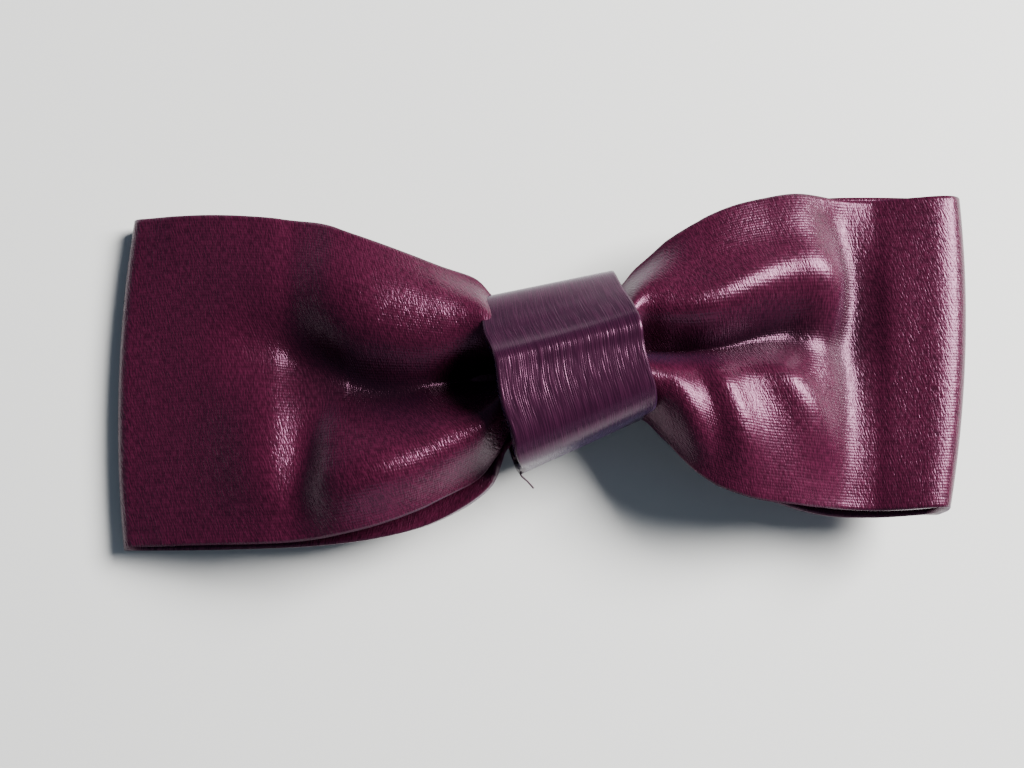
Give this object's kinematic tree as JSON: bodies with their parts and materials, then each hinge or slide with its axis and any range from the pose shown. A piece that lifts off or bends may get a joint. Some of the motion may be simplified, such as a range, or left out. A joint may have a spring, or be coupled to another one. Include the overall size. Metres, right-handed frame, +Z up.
{
  "type": "bow tie",
  "caption": "Ready-tied satin bow tie: looped double wings gathered under a wrapped knot, with a sprung clip behind that grips a collar.",
  "frame": {"origin": "centre of the bounding box on the table: the tie lies on its back, front up, on the plane z = 0", "axes": "+X along the bow to the viewer's right, +Y across it towards its top edge, +Z up out of the front of the knot"},
  "size_m": [0.1267, 0.05, 0.0232],
  "materials": {
    "bow_satin": "glossy warp-faced satin",
    "knot_satin": "glossy satin, ribs running up the knot",
    "interlining": "matt non-woven",
    "thread": "spun sewing thread",
    "clip_steel": "bright nickel plate",
    "spring_steel": "drawn wire"
  },
  "bodies": {
    "bow": {"bow_satin": "bow_satin", "bow_interlining": "interlining", "bow_end_stitches": "thread", "waist_binding": "thread", "knot_satin": "knot_satin", "knot_interlining": "interlining", "knot_stitches": "thread", "thread_tail": "thread", "clip_bridge": "clip_steel", "left_hinge_pin": "clip_steel", "right_hinge_pin": "clip_steel", "left_jaw_spring": "spring_steel", "right_jaw_spring": "spring_steel", "clip_tack_left": "thread", "clip_tack_right": "thread"},
    "left_jaw": {"left_jaw": "clip_steel"},
    "right_jaw": {"right_jaw": "clip_steel"}
  },
  "joints": [
    {"name": "left_jaw_hinge", "type": "hinge", "parent": "bow", "child": "left_jaw", "pos_m": [-0.0176, 0, 0.0035], "axis": [0, -1, 0], "range_deg": [0, 28], "stiffness_Nm_per_rad": 0.01, "springref_deg": -17.19, "deforming": ["left_jaw_spring"]},
    {"name": "right_jaw_hinge", "type": "hinge", "parent": "bow", "child": "right_jaw", "pos_m": [0.0236, 0, 0.0035], "axis": [0, 1, 0], "range_deg": [0, 28], "stiffness_Nm_per_rad": 0.01, "springref_deg": -17.19, "deforming": ["right_jaw_spring"]}
  ]
}
